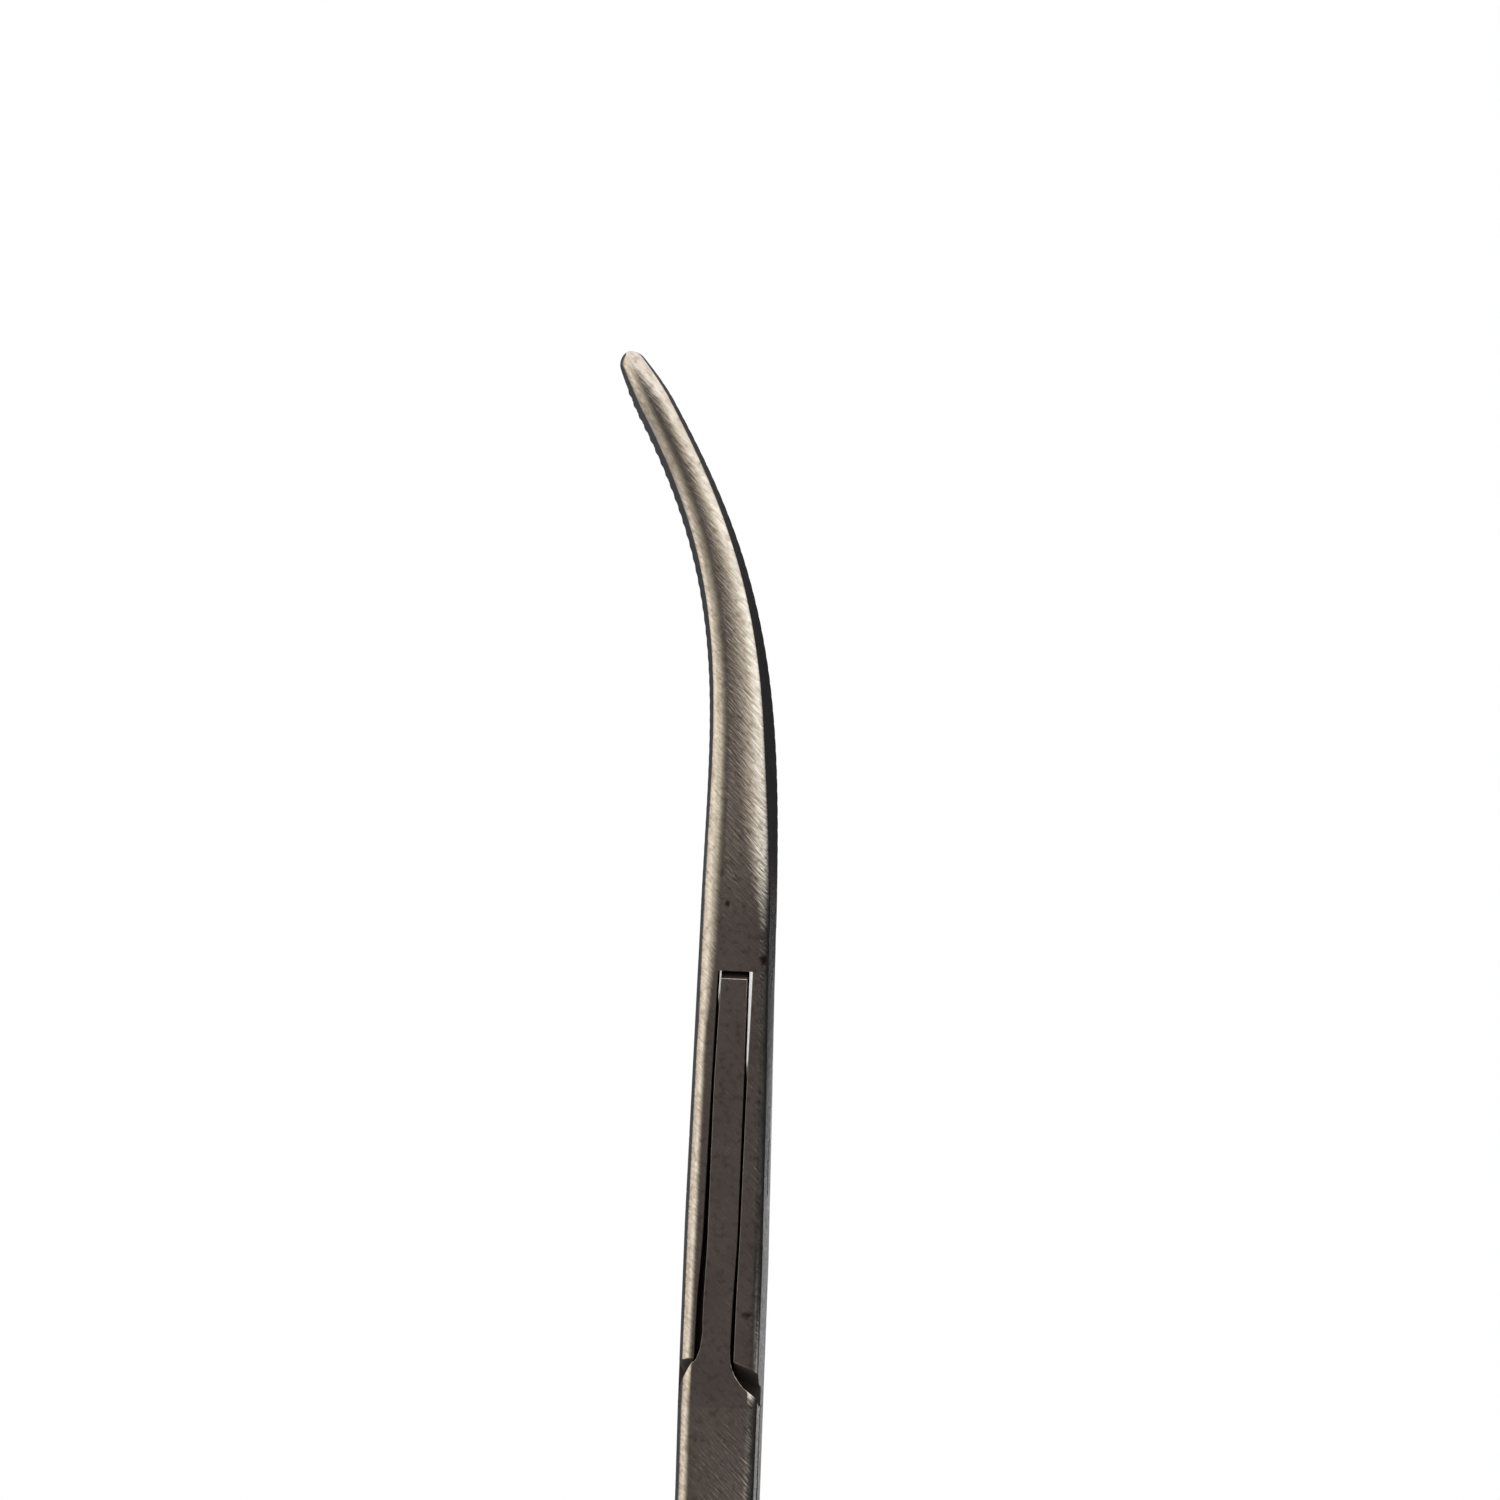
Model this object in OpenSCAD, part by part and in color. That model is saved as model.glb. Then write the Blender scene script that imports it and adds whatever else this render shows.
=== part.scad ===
// Curved haemostatic forceps with a box lock: two forged halves crossing on one pivot pin.
// Z runs along the instrument towards the tips, X is the pivot axis, Y is the opening direction.
// The origin is where the pivot axis meets the flat side that the closed instrument lies on.
// The female half has the near jaw (-Y) and the far shank and ring (+Y); the male half is the other way round.

/* [Overall] */
// Length from the tips to the ends of the finger rings
overall_length = 125; // [120:0.5:130]
// Thickness across the two flat sides
body_thickness = 3.1; // [2.9:0.05:3.4]
// Radius along the outer long edges of the box
edge_radius = 0.5; // [0.3:0.05:0.7]

/* [Jaws] */
// Developed length of a jaw from the start of its curve
jaw_length = 24.15; // [22:0.05:26]
// Turn of the jaw at its tip, in degrees
jaw_turn = 31; // [20:1:36]
// Width of a jaw where it leaves the box
jaw_root_width = 2.95; // [2.7:0.05:3.1]
// Width that the taper reaches just before the rounded tip
jaw_tip_width = 1.46; // [1.2:0.02:1.8]
// Depth of one jaw at its tip, in the opening direction
jaw_tip_depth = 0.95; // [0.8:0.05:1.3]
// Pitch of the cross serrations
serration_pitch = 0.5; // [0.4:0.05:0.8]
// Height of the serrations from root to crest
serration_height = 0.2; // [0.1:0.02:0.24]
// Gap between the clamping faces of the closed jaws
jaw_gap = 0.05; // [0.04:0.01:0.1]

/* [Box lock] */
// Half width of the box in the opening direction
box_half_width = 3.4; // [3.2:0.05:3.6]
// Width of the slot between the two cheeks
slot_width = 1.32; // [1.2:0.02:1.4]
// Thickness of the tenon that passes through the slot
tenon_thickness = 1.14; // [1.0:0.02:1.16]
// Radius about the pivot of the slot's end walls
slot_end_radius = 8.4; // [8.35:0.05:8.6]
// Radius about the pivot of the tenon's free ends
tenon_end_radius = 8.1; // [7.9:0.05:8.15]
// Radius about the pivot of the free ends of the cheeks
cheek_end_radius = 7.9; // [7.6:0.05:7.95]
// Radius about the pivot where the male shoulders leave the tenon
shoulder_start_radius = 8.05; // [8.02:0.01:8.15]
// Radius about the pivot where the male shoulders reach the full thickness
shoulder_full_radius = 9.1; // [8.8:0.05:9.15]
// Gap between the two halves where they lie face to face
parting_gap = 0.04; // [0.02:0.01:0.1]

/* [Pivot pin] */
// Diameter of the pin
pin_diameter = 2.2; // [1.8:0.1:2.6]
// Radial interference of the pin in the cheeks
pin_interference = 0.005; // [0.002:0.001:0.008]
// Radial running clearance of the tenon on the pin
pin_clearance = 0.03; // [0.02:0.01:0.06]

/* [Shanks] */
// Depth of a shank at the box, in the opening direction
shank_root_depth = 3.3; // [3:0.05:3.35]
// Depth of a shank at its ring, in the opening direction
shank_end_depth = 2.6; // [2.4:0.05:3]
// Thickness of a shank at its ring, across the flat sides
shank_end_thickness = 2.8; // [2.6:0.05:3.1]
// Height at which a shank runs into its ring, below the pivot
shank_end_drop = 64; // [62:0.5:66]
// Centre of a shank from the middle plane where it runs into its ring
shank_end_offset = 9; // [8.5:0.1:10]

/* [Ratchet] */
// Height of the ratchet bars' middle, below the pivot
ratchet_drop = 57.5; // [55:0.5:60]
// Height of a ratchet bar along the instrument
ratchet_height = 4.2; // [3.6:0.1:5]
// Reach of a ratchet bar beyond the middle plane
ratchet_reach = 2.6; // [2.2:0.1:3.4]
// Pitch of the ratchet teeth
ratchet_pitch = 1.2; // [1:0.1:1.4]
// Depth of the ratchet teeth
ratchet_tooth_depth = 0.45; // [0.3:0.05:0.5]
// Gap between the crests of the two ratchets
ratchet_crest_gap = 0.08; // [0.06:0.01:0.12]

/* [Finger rings] */
// Outer width of a ring in the opening direction
ring_width = 23.5; // [22:0.1:25]
// Outer height of a ring along the instrument
ring_height = 29; // [28:0.1:30]
// Centre of a ring from the middle plane
ring_offset = 15.2; // [15:0.1:16]
// Width of the ring's rim, seen from the flat side
rim_width = 3.2; // [3:0.1:3.6]
// Radius on the edges of the rim
rim_edge_radius = 1.25; // [1:0.05:1.4]

/* [Hidden] */
$fn = 64;

near = -1;
far = 1;
mid_x = -body_thickness / 2;
slack = 1;

// The curve of the jaws starts at this height, and the box ends at root_z.
curve_start_z = 8;
root_z = 9.2;
jaw_skip = root_z - curve_start_z;
path_steps = 240;
tip_round_length = 1.6;
tip_last_row = 0.97;
serration_end_margin = 1.6;

pin_radius = pin_diameter / 2;
steel = [0.62, 0.60, 0.58];
bright_steel = [0.74, 0.74, 0.73];

// ---------- small functions ----------

function mix(a, b, t) = a + (b - a) * t;
function clamp01(t) = min(1, max(0, t));
function smooth(t) = let (u = clamp01(t)) u * u * (3 - 2 * u);

// Points of a quarter ellipse round centre c, from start angle a in steps over 90 degrees
function corner(c, rx, ry, a, steps) =
    [for (i = [0 : steps]) [c[0] + rx * cos(a + 90 * i / steps), c[1] + ry * sin(a + 90 * i / steps)]];

// Triangles of the walls between equal loops of points; the loops either end or close into a ring
function wall_faces(rows, points, closed) = [
    for (r = [0 : rows - (closed ? 1 : 2)], i = [0 : points - 1])
        let (
            next_row = (r + 1) % rows * points,
            a = r * points + i,
            b = r * points + (i + 1) % points,
            c = next_row + i,
            d = next_row + (i + 1) % points
        )
        each [[a, b, d], [a, d, c]]
];

// Triangles of the two end faces
function end_faces(rows, points) =
    let (base = (rows - 1) * points)
    concat(
        [for (i = [1 : points - 2]) [0, i + 1, i]],
        [for (i = [1 : points - 2]) [base, base + i, base + i + 1]]
    );

// A solid skinned over loops of points; mirrored turns its faces round
module skin(loops, mirrored, closed = false) {
    rows = len(loops);
    count = len(loops[0]);
    faces = concat(wall_faces(rows, count, closed), closed ? [] : end_faces(rows, count));
    polyhedron(
        points = [for (loop = loops) each loop],
        faces = mirrored ? faces : [for (f = faces) [f[0], f[2], f[1]]],
        convexity = 4
    );
}

// ---------- jaws ----------

// Heading of the jaw at length s, in degrees: it starts straight, bends mostly in its middle and eases off at the tip
function jaw_heading(s) =
    let (left = 1 - clamp01(s / jaw_length))
    jaw_turn * pow(1 - left * left, 4);

// Places [x, z] along the middle of the jaw, by adding up small steps along the heading
jaw_step = jaw_length / path_steps;
jaw_path = [
    for (
        i = 0, p = [mid_x, curve_start_z];
        i <= path_steps;
        p = p + jaw_step * [-sin(jaw_heading((i + 0.5) * jaw_step)), cos(jaw_heading((i + 0.5) * jaw_step))],
        i = i + 1
    ) p
];
tip_z = jaw_path[path_steps][1];

function jaw_place(s) =
    let (
        f = clamp01(s / jaw_length) * path_steps,
        i = min(path_steps - 1, floor(f))
    )
    mix(jaw_path[i], jaw_path[i + 1], f - i);

// The rounded end: 1 along the jaw, falling to 0 at the tip along an ellipse
function tip_rounding(s) =
    let (e = clamp01((s - jaw_length + tip_round_length) / tip_round_length))
    sqrt(max(0, 1 - e * e));

function jaw_width(s) =
    mix(jaw_tip_width, jaw_root_width, (1 + cos(180 * clamp01(s / jaw_length))) / 2) * tip_rounding(s);

function jaw_depth(s) =
    let (t = clamp01((s - jaw_skip) / (jaw_length - jaw_skip)))
    mix(jaw_tip_depth, box_half_width, pow(1 - t, 1.35)) * mix(0.55, 1, tip_rounding(s));

// Triangle wave of the serrations, from -1 to 1, flat at both ends of the jaw
function serration(i, count) = i <= 1 || i >= count ? 0 : (i % 2 == 0 ? 1 : -1);

// One cross-section: a flat clamping face and a back that turns from a rounded box into a half oval
function jaw_loop(s, side, wave) =
    let (
        width = jaw_width(s),
        depth = jaw_depth(s),
        t = smooth((s - jaw_skip) / (0.5 * jaw_length)),
        rx = mix(edge_radius, 0.5, t) * mix(1, width, t),
        ry = mix(edge_radius, 0.75 * depth, t),
        place = jaw_place(s),
        turn = jaw_heading(s),
        inner = side * jaw_gap / 2 + wave * serration_height / 2,
        outline = concat(
            [[width / 2, inner]],
            [for (p = corner([width / 2 - rx, depth - ry], rx, ry, 0, 4)) [p[0], side * p[1]]],
            [for (p = corner([-width / 2 + rx, depth - ry], rx, ry, 90, 4)) [p[0], side * p[1]]],
            [[-width / 2, inner]]
        )
    )
    [for (p = outline) [place[0] + p[0] * cos(turn), p[1], place[1] + p[0] * sin(turn)]];

module jaw(side) {
    half_pitch = serration_pitch / 2;
    count = floor((jaw_length - jaw_skip - serration_end_margin) / half_pitch);
    serrated = [for (i = [0 : count]) [jaw_skip + i * half_pitch, serration(i, count)]];
    rounded = [
        for (i = [1 : 6])
            let (e = tip_last_row * sin(90 * i / 6))
            [jaw_length - tip_round_length + tip_round_length * e, 0]
    ];
    rows = concat(serrated, rounded);
    skin([for (r = rows) jaw_loop(r[0], side, r[1])], side == near);
}

module female_jaw() {
    color(steel) jaw(near);
}

module male_jaw() {
    color(steel) jaw(far);
}

// ---------- box lock ----------

// Cross-section of the closed box: a rectangle with round corners, true arcs
module box_outline() {
    inner_x = body_thickness - 2 * edge_radius;
    inner_y = 2 * (box_half_width - edge_radius);
    translate([mid_x, 0]) {
        square([body_thickness, inner_y], center = true);
        square([inner_x, 2 * box_half_width], center = true);
        for (x = [-inner_x / 2, inner_x / 2], y = [-inner_y / 2, inner_y / 2])
            translate([x, y]) circle(r = edge_radius);
    }
}

module box_bar() {
    translate([0, 0, -root_z]) linear_extrude(2 * root_z) box_outline();
}

// Turns a shape drawn round the local Z axis so that it lies round the pivot axis
module about_pivot() {
    translate([mid_x, 0, 0]) rotate([90, 0, 90]) children();
}

module pivot_disc(radius, thickness) {
    about_pivot() cylinder(r = radius, h = thickness, center = true);
}

// A block on one side of the parting plane, in the front (1) or rear (-1) half of the box
module quarter(side, front, gap, thickness) {
    y0 = gap / 2;
    y1 = box_half_width + slack;
    translate([mid_x - thickness / 2, side > 0 ? y0 : -y1, front > 0 ? 0 : -root_z - slack])
        cube([thickness, y1 - y0, root_z + slack]);
}

// The slot: open through both faces, closed at both ends by walls that are round about the pivot
module lock_slot() {
    intersection() {
        pivot_disc(slot_end_radius, slot_width);
        translate([mid_x - slot_width, -box_half_width - slack, -root_z])
            cube([2 * slot_width, 2 * (box_half_width + slack), 2 * root_z]);
    }
}

module female_box_lock() {
    wide = body_thickness + 2 * slack;
    color(steel) difference() {
        intersection() {
            box_bar();
            union() {
                pivot_disc(cheek_end_radius, wide);
                quarter(near, 1, parting_gap, wide);
                quarter(far, -1, parting_gap, wide);
            }
        }
        lock_slot();
        pivot_disc(pin_radius - pin_interference, wide);
    }
}

// Everything within the shoulders' cones, apart from the tenon itself
module shoulder_cutter() {
    half = body_thickness / 2;
    tenon_half = tenon_thickness / 2;
    about_pivot() for (flip = [0, 1]) mirror([0, 0, flip]) rotate_extrude() polygon([
        [0, tenon_half],
        [shoulder_start_radius, tenon_half],
        [shoulder_full_radius, half],
        [shoulder_full_radius, half + slack],
        [0, half + slack]
    ]);
}

module male_tenon() {
    wide = body_thickness + 2 * slack;
    color(steel) difference() {
        intersection() {
            box_bar();
            union() {
                pivot_disc(tenon_end_radius, tenon_thickness);
                quarter(far, 1, parting_gap, wide);
                quarter(near, -1, parting_gap, wide);
            }
        }
        shoulder_cutter();
        pivot_disc(pin_radius + pin_clearance, wide);
    }
}

module pivot_pin() {
    color(bright_steel) pivot_disc(pin_radius, body_thickness);
}

// ---------- shanks ----------

shank_run = shank_end_drop - root_z;
buried_length = 4.6;
shank_start_offset = shank_root_depth / 2 + 0.1;

// Distance of the shank's centre from the middle plane, t = 0 at the box and 1 at the ring
function shank_offset(t) = mix(shank_start_offset, shank_end_offset, pow(t, 1.2));

// One cross-section: a rounded box that becomes an oval on its way to the ring
function shank_loop(t, side) =
    let (
        eased = smooth(t * 2),
        hx = mix(body_thickness, shank_end_thickness, clamp01(t)) / 2,
        hy = mix(shank_root_depth, shank_end_depth, clamp01(t)) / 2,
        outer = mix(edge_radius, 1.1, eased),
        inner = mix(0.1, 1.1, eased),
        y = shank_offset(t),
        z = -root_z - t * shank_run,
        outline = concat(
            corner([hx - outer, hy - outer], outer, outer, 0, 3),
            corner([-hx + outer, hy - outer], outer, outer, 90, 3),
            corner([-hx + inner, -hy + inner], inner, inner, 180, 3),
            corner([hx - inner, -hy + inner], inner, inner, 270, 3)
        )
    )
    [for (p = outline) [mid_x + p[0], side * (y + p[1]), z]];

module shank_sweep(t0, t1, steps, side) {
    skin([for (i = [0 : steps]) shank_loop(mix(t0, t1, i / steps), side)], side == far);
}

ratchet_t = (ratchet_drop - root_z) / shank_run;
ratchet_pad_y = shank_offset(ratchet_t) - shank_end_depth / 2 - 0.5;
ratchet_pad_thickness = shank_end_thickness - 0.1;

module shank(side) {
    pad_back = shank_offset(ratchet_t);
    shank_sweep(0, 1, 28, side);
    translate([
        mid_x - ratchet_pad_thickness / 2,
        side > 0 ? ratchet_pad_y : -pad_back,
        -ratchet_drop - ratchet_height / 2
    ])
        cube([ratchet_pad_thickness, pad_back - ratchet_pad_y, ratchet_height]);
}

module female_shank() {
    color(steel) shank(far);
}

module male_shank() {
    color(steel) shank(near);
}

// ---------- ratchets ----------

// Outline of a bar, [along Y, height towards the other bar]: a plain back and three saw teeth near the free end
module ratchet_outline() {
    crest = ratchet_pad_thickness / 2 - ratchet_crest_gap / 2;
    root = crest - ratchet_tooth_depth;
    free_end = -ratchet_reach;
    polygon(concat(
        [[ratchet_pad_y, 0], [free_end + 0.4, 0], [free_end, 0.4]],
        [for (i = [0 : 2]) each [
            [free_end + i * ratchet_pitch, root],
            [free_end + (i + 0.85) * ratchet_pitch, crest]
        ]],
        [[free_end + 3 * ratchet_pitch, root], [ratchet_pad_y, root]]
    ));
}

// The female bar lies on the +X half and the male bar on the -X half, teeth facing each other
module ratchet(side) {
    translate([mid_x, 0, -ratchet_drop])
        rotate([0, 0, side > 0 ? 0 : 180])
            translate([ratchet_pad_thickness / 2, 0, 0])
                rotate([0, 0, 90])
                    linear_extrude(ratchet_height, center = true) ratchet_outline();
}

module female_ratchet() {
    color(steel) ratchet(far);
}

module male_ratchet() {
    color(steel) ratchet(near);
}

// ---------- finger rings ----------

ring_z = tip_z - overall_length + ring_height / 2;
rim_steps = 72;

// One cross-section of the rim, at angle a round the ring's oval centre line
function rim_loop(a, side) =
    let (
        half_y = (ring_width - rim_width) / 2,
        half_z = (ring_height - rim_width) / 2,
        out = [half_z * cos(a), half_y * sin(a)] / norm([half_z * cos(a), half_y * sin(a)]),
        flat_r = rim_width / 2 - rim_edge_radius,
        flat_x = body_thickness / 2 - rim_edge_radius,
        outline = concat(
            corner([flat_x, flat_r], rim_edge_radius, rim_edge_radius, 0, 4),
            corner([-flat_x, flat_r], rim_edge_radius, rim_edge_radius, 90, 4),
            corner([-flat_x, -flat_r], rim_edge_radius, rim_edge_radius, 180, 4),
            corner([flat_x, -flat_r], rim_edge_radius, rim_edge_radius, 270, 4)
        )
    )
    [
        for (p = outline) [
            mid_x + p[0],
            side * (ring_offset + half_y * cos(a) + p[1] * out[0]),
            ring_z + half_z * sin(a) + p[1] * out[1]
        ]
    ];

module finger_ring(side) {
    skin([for (i = [0 : rim_steps - 1]) rim_loop(360 * i / rim_steps, side)], side == near, closed = true);
    // The last of the shank, buried in the rim
    shank_sweep(1, 1 + buried_length / shank_run, 4, side);
}

module female_finger_ring() {
    color(steel) finger_ring(far);
}

module male_finger_ring() {
    color(steel) finger_ring(near);
}

female_jaw();
female_box_lock();
female_shank();
female_ratchet();
female_finger_ring();
pivot_pin();
male_jaw();
male_tenon();
male_shank();
male_ratchet();
male_finger_ring();
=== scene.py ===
"""Curved haemostatic forceps with a box lock: the visible surfaces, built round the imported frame.

Every surface is worked out in millimetres from the middle of the pivot axis, and scaled to metres when it
is finished: x runs along the pivot (0 is the middle of the thickness), y is the opening direction, and z
runs towards the tips.
"""

import bmesh
import bpy
import numpy as np
from bpy.props import FloatProperty, FloatVectorProperty, PointerProperty
from mathutils import Matrix, Vector
from mathutils.geometry import delaunay_2d_cdt


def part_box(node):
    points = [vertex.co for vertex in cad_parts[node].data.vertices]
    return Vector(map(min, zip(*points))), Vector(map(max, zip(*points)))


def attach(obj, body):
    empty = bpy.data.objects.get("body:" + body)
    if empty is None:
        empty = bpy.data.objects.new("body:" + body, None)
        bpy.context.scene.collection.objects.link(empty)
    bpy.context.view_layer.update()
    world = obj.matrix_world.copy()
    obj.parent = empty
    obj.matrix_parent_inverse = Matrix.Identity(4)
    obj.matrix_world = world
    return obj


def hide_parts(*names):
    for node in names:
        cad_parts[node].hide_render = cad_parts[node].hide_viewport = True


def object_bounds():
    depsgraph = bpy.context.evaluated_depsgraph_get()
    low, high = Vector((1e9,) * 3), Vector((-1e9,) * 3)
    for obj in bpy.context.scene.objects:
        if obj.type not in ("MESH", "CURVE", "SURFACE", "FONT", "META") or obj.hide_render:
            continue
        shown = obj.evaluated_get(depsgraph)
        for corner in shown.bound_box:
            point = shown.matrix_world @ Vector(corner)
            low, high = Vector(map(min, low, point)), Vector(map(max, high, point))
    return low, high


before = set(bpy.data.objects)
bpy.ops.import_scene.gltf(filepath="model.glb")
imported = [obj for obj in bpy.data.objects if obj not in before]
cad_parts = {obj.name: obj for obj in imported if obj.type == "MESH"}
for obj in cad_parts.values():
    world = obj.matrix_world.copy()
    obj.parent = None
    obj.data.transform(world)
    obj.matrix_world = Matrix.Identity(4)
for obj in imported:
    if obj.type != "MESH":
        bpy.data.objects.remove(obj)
CAD_BOX = [list(corner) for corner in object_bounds()]

bl_info = {
    "name": "Curved haemostatic forceps",
    "version": (1, 0, 0),
    "blender": (4, 5, 0),
    "location": "View3D > Sidebar > Forceps",
    "description": "Builds the two forged halves, the pin and the stage of a curved haemostat",
    "category": "Object",
}

MM = 0.001
NEAR, FAR = -1, 1

# The lock's own box gives the body's thickness and the heights where jaws and shanks begin.
LOCK_LOW, LOCK_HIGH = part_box("female_box_lock")
RING_LOW, RING_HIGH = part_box("female_finger_ring")
MIDDLE_X = (LOCK_LOW.x + LOCK_HIGH.x) / 2 / MM
HALF_THICKNESS = (LOCK_HIGH.x - LOCK_LOW.x) / 2 / MM
HALF_WIDTH = LOCK_HIGH.y / MM
ROOT_Z = LOCK_HIGH.z / MM
CURVE_START_Z = 8.0

CORNER_STEPS = 10
# Gap left on each side of the middle plane where the halves part, and the radius at which it is measured
PARTING, PARTING_RADIUS = 0.02, 8.0
# How far the tools that cut the body reach: past both flanks, and past its width
PAST_FLANKS, PAST_WIDTH = 3.0, 16.0


# ---------- sizes and colours ----------


def srgb(code):
    """Linear colour of an sRGB hex code.

    Each channel c becomes c / 12.92 up to 0.04045, and ((c + 0.055) / 1.055)^2.4 above it.
    """
    channels = np.array([int(code[i : i + 2], 16) for i in (1, 3, 5)]) / 255
    linear = np.where(channels <= 0.04045, channels / 12.92, ((channels + 0.055) / 1.055) ** 2.4)
    return (*linear.tolist(), 1.0)


def length(name, description, default_mm):
    """A size held in metres, whose default is given in millimetres."""
    default = default_mm * MM
    return FloatProperty(name=name, description=description, default=default, unit="LENGTH", precision=5)


def colour(name, description, code):
    return FloatVectorProperty(
        name=name, description=description, default=srgb(code), size=4, subtype="COLOR", min=0, max=1
    )


class ForcepsSizes(bpy.types.PropertyGroup):
    """Driving sizes of the visible surfaces"""

    jaw_length: length("Jaw length", "Developed length of a jaw from the start of its curve", 24.15)
    jaw_turn: FloatProperty(
        name="Jaw turn", description="Turn of the jaw at its tip", default=np.radians(31.0), subtype="ANGLE"
    )
    jaw_root_width: length("Jaw root width", "Width of a jaw where it leaves the box", 2.95)
    jaw_tip_width: length("Jaw tip width", "Width that the taper reaches before the round tip", 1.46)
    jaw_tip_depth: length("Jaw tip depth", "Depth of one jaw at its tip", 0.95)
    serration_pitch: length("Serration pitch", "Pitch of the cross serrations", 0.5)
    serration_height: length("Serration height", "Height of the serrations from root to crest", 0.2)
    jaw_crown: length("Jaw crown", "Rise of a jaw's crowned back above its corners", 0.28)
    tip_round: length("Tip round", "Length over which the tip is rounded off", 0.9)
    jaw_gap: length("Jaw gap", "Gap between the closed clamping faces", 0.05)
    soft_edge_width: length("Soft edge width", "Breadth of the rounding on the concave side", 0.5)
    jaw_edge_width: length("Jaw edge width", "Breadth of that rounding where a jaw leaves the box", 0.85)
    soft_edge_depth: length("Soft edge depth", "Depth of the rounding on the concave side", 0.6)
    firm_edge: length("Firm edge", "Radius of the rounding on the convex side", 0.42)
    slot_radius: length("Slot end radius", "Radius about the pivot of the slot's end walls", 8.25)
    tenon_radius: length("Tenon end radius", "Radius about the pivot of the tenon's free ends", 8.0)
    arris: length("Arris", "Breadth of the small broken edges", 0.03)
    pin_diameter: length("Pin diameter", "Diameter of the pivot pin", 2.2)
    shank_end_depth: length("Shank end depth", "Depth of a shank at its ring", 2.6)
    shank_end_drop: length("Shank end drop", "Distance of the shank's end below the pivot", 64.0)
    shank_end_offset: length("Shank end offset", "Shank centre from the middle plane at its end", 9.0)
    ring_width: length("Ring width", "Outer width of a finger ring", 23.5)
    ring_height: length("Ring height", "Outer height of a finger ring", 29.0)
    rim_width: length("Rim width", "Width of a ring's rim", 3.2)
    rim_edge: length("Rim edge", "Radius on the edges of shank end and rim", 1.2)
    ratchet_drop: length("Ratchet drop", "Distance of the ratchet bars below the pivot", 57.5)
    ratchet_height: length("Ratchet height", "Height of a ratchet bar along the instrument", 4.2)
    ratchet_pitch: length("Ratchet pitch", "Pitch of the ratchet teeth", 1.2)
    ratchet_depth: length("Ratchet tooth depth", "Depth of the ratchet teeth", 0.45)


class ForcepsFinish(bpy.types.PropertyGroup):
    """Colours of the finishes and of the light round the stage"""

    satin: colour("Satin steel", "Face-on reflectance of the satin steel", "#CFCAC4")
    stain: colour("Stain", "Heat and water stain on the satin steel", "#8E8177")
    rust: colour("Rust", "Small rust spots", "#5A3626")
    wall: colour("Slot wall", "Reflectance of the lapped slot walls", "#D2CFCA")
    # Painted shade: a dark colour painted low in the slots and at their near openings, where the gaps between
    # the halves fall into shade
    slot_shade: colour("Slot_shade", "Dried residue in the mouths of the slots", "#2A1C17")
    pin: colour("Pin", "Reflectance of the ground pin ends", "#DAD7D3")
    floor: colour("Floor", "Colour of the floor", "#F4F4F2")
    floor_mottle: colour("Floor mottle", "Colour that the floor's faint mottle tends to", "#E1E1E0")


def mm(size):
    """A size in metres, as millimetres."""
    return size / MM


# ---------- small functions on arrays ----------


def mix(a, b, t):
    return a + (b - a) * t


def smooth(t):
    u = np.clip(t, 0.0, 1.0)
    return u * u * (3 - 2 * u)


def grid_faces(rows, columns, closed):
    """Quads between the points of a grid stored row by row; closed joins the last column to the first."""
    last = columns if closed else columns - 1
    row, column = np.meshgrid(np.arange(rows - 1), np.arange(last), indexing="ij")
    following = (column + 1) % columns
    corners = [row * columns + column, row * columns + following]
    corners += [(row + 1) * columns + following, (row + 1) * columns + column]
    return np.stack([c.ravel() for c in corners], axis=1)


def loft(loops):
    """Closed solid over loops [row, point, xyz]: quads between neighbouring rows, and flat caps."""
    rows, columns, _ = loops.shape
    faces = grid_faces(rows, columns, True).tolist()
    faces.append(list(range(columns))[::-1])
    faces.append(list(range((rows - 1) * columns, rows * columns)))
    return loops.reshape(-1, 3), faces


def volume(points, faces):
    """Signed volume inside the faces: a sixth of the summed triple products of each face's fan triangles."""
    total = 0.0
    by_size = {}
    for face in faces:
        by_size.setdefault(len(face), []).append(face)
    for size, group in by_size.items():
        corner = points[np.array(group)]
        for k in range(1, size - 1):
            total += np.einsum("ij,ij->", corner[:, 0], np.cross(corner[:, k], corner[:, k + 1])) / 6
    return total


def store(name, points, faces, material=None):
    """An object whose mesh holds the points, in millimetres, with its faces pointing outwards."""
    points = np.asarray(points, float)
    if volume(points, faces) < 0:
        faces = [face[::-1] for face in faces]
    mesh = bpy.data.meshes.new(name)
    mesh.from_pydata(points.tolist(), [], faces)
    if mesh.validate():
        raise ValueError(f"{name}: the mesh had faults")
    if material is not None:
        mesh.materials.append(material)
    piece = bpy.data.objects.new(name, mesh)
    bpy.context.scene.collection.objects.link(piece)
    return piece


def apply_modifiers(piece):
    """Replaces the piece's mesh by what its modifiers make of it."""
    graph = bpy.context.evaluated_depsgraph_get()
    made = bpy.data.meshes.new_from_object(piece.evaluated_get(graph))
    old = piece.data
    piece.modifiers.clear()
    piece.data = made
    bpy.data.meshes.remove(old)


def cut(piece, tools, operation="DIFFERENCE"):
    """Takes each tool from the piece, or joins it on, by exact boolean, and removes the tool."""
    for tool in tools:
        modifier = piece.modifiers.new("cut", "BOOLEAN")
        modifier.object = tool
        modifier.operation = operation
        modifier.solver = "EXACT"
        modifier.material_mode = "TRANSFER"
        apply_modifiers(piece)
        mesh = tool.data
        bpy.data.objects.remove(tool)
        bpy.data.meshes.remove(mesh)


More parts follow.
